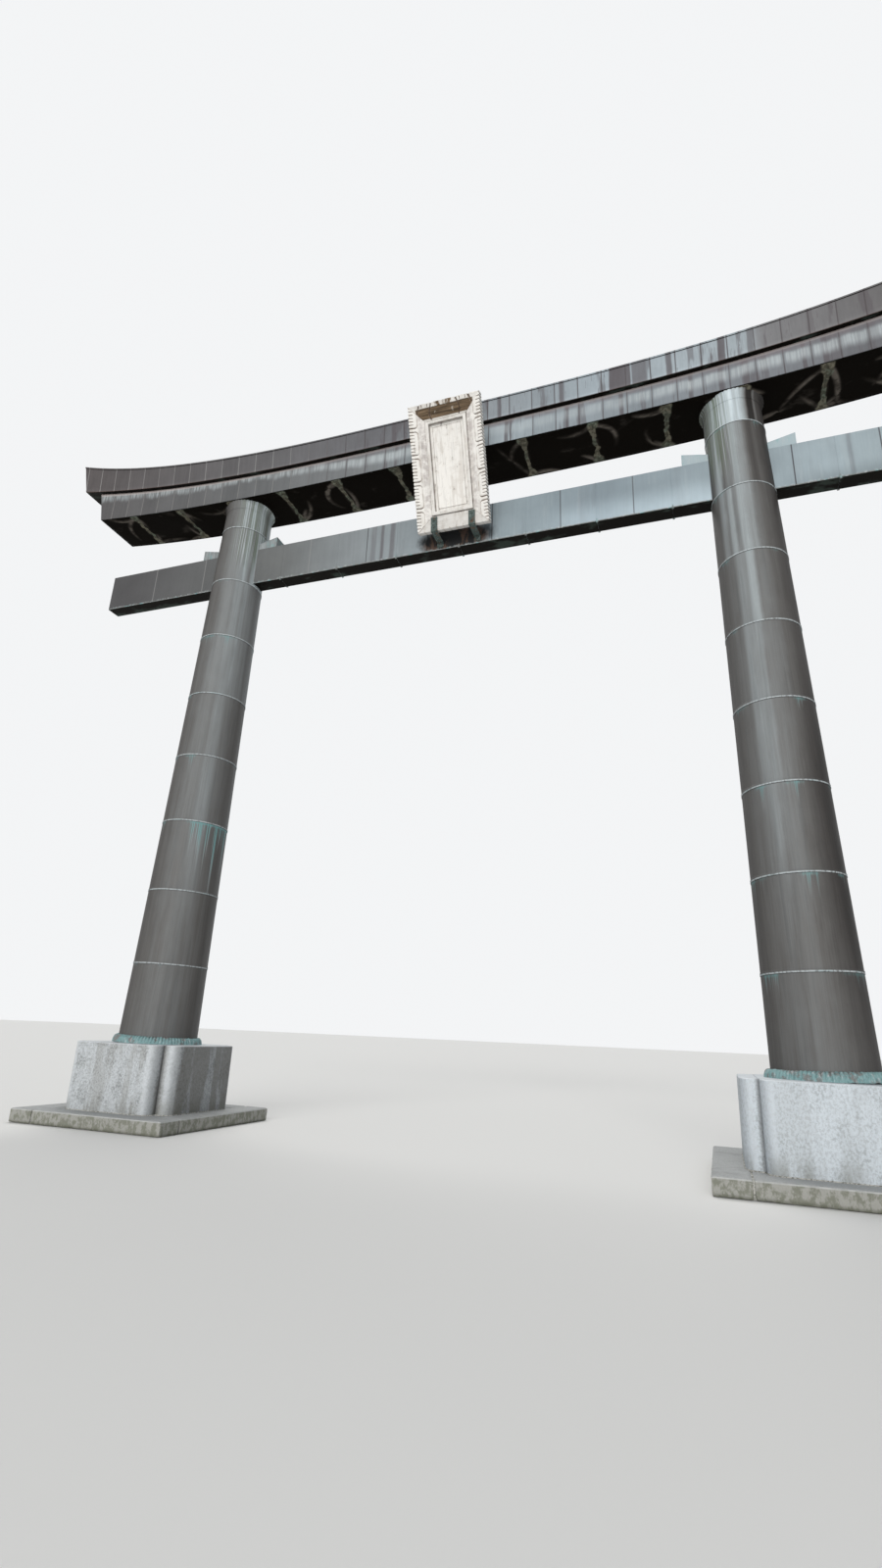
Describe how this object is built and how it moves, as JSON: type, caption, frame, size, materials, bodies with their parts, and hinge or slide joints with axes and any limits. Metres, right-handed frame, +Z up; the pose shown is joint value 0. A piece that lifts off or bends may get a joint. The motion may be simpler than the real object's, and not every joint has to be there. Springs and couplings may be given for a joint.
{
  "type": "torii gate",
  "caption": "Copper-clad shrine gate: leaning tapered columns on granite pedestals, a tie beam, upswept double lintels and a tilted, blank carved name board.",
  "frame": {"origin": "on the ground, midway between the two columns", "axes": "+X along the beams to the right as seen from the approach, +Y through the passage away from the approach, +Z up"},
  "size_m": [14.6186, 2.27, 11.0625],
  "materials": {
    "column_copper": "weathered grey-brown copper sheet, satin, streaked",
    "beam_copper": "weathered blue-grey copper sheet, satin, with dark streaks",
    "pale_copper": "pale green-grey weathered copper sheet",
    "verdigris_copper": "verdigris over dull copper",
    "granite": "honed speckled grey granite, weather-stained",
    "mossy_stone": "rough, mossy grey stone",
    "painted_wood": "worn white paint over carved timber",
    "board_iron": "dark green-grey paint with rust"
  },
  "bodies": {
    "root": {"left_plinth": "mossy_stone", "left_pedestal_core": "granite", "left_pedestal_slabs": "granite", "left_column_course_1": "column_copper", "left_column_course_2": "column_copper", "left_column_course_3": "column_copper", "left_column_course_4": "column_copper", "left_column_course_5": "column_copper", "left_column_course_6": "column_copper", "left_column_course_7": "column_copper", "left_column_course_8": "column_copper", "left_column_course_9": "column_copper", "left_foot_flashing": "verdigris_copper", "left_column_collar": "verdigris_copper", "left_inner_wedge": "pale_copper", "left_outer_wedge": "pale_copper", "right_plinth": "mossy_stone", "right_pedestal_core": "granite", "right_pedestal_slabs": "granite", "right_column_course_1": "column_copper", "right_column_course_2": "column_copper", "right_column_course_3": "column_copper", "right_column_course_4": "column_copper", "right_column_course_5": "column_copper", "right_column_course_6": "column_copper", "right_column_course_7": "column_copper", "right_column_course_8": "column_copper", "right_column_course_9": "column_copper", "right_foot_flashing": "verdigris_copper", "right_column_collar": "verdigris_copper", "right_inner_wedge": "pale_copper", "right_outer_wedge": "pale_copper", "tie_beam": "beam_copper", "centre_strut": "beam_copper", "lower_lintel": "beam_copper", "upper_lintel": "beam_copper", "lintel_roof": "beam_copper", "board_panel": "painted_wood", "board_moulding": "painted_wood", "board_frame_bottom": "painted_wood", "board_frame_right": "painted_wood", "board_frame_top": "painted_wood", "board_frame_left": "painted_wood", "board_brackets": "board_iron", "board_stays": "board_iron"}
  },
  "joints": []
}
